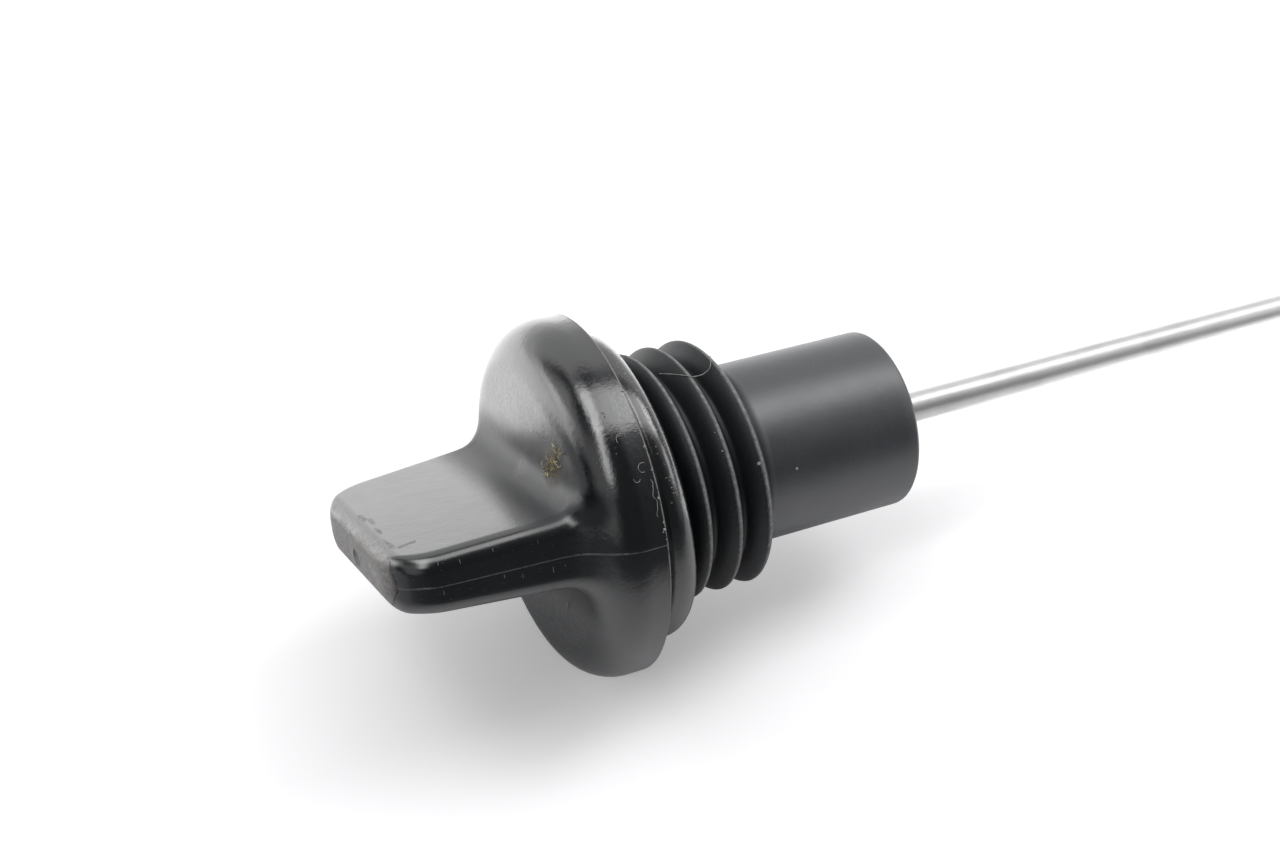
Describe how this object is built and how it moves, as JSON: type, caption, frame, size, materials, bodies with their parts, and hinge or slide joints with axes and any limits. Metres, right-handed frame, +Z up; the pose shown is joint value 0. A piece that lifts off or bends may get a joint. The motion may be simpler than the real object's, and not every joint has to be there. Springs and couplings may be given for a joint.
{
  "type": "engine oil dipstick",
  "caption": "Screw-in oil dipstick: black moulded cap with a flat grip, a round flange, a coarse thread and a plain shank, a rubber sealing ring and a steel wire rod with a flattened blade.",
  "frame": {"origin": "on the surface the dipstick lies on, under the middle of its outer box", "axes": "+X along the rod towards the tip, +Z up, and +Y across"},
  "size_m": [0.3005, 0.028, 0.028],
  "materials": {
    "cap_plastic": "satin black moulded plastic, scuffed and dusty",
    "ring_rubber": "smooth black rubber with a wet gloss",
    "rod_steel": "plain drawn steel wire"
  },
  "bodies": {
    "root": {"screw_cap": "cap_plastic", "sealing_ring": "ring_rubber", "dip_rod": "rod_steel"}
  },
  "joints": []
}
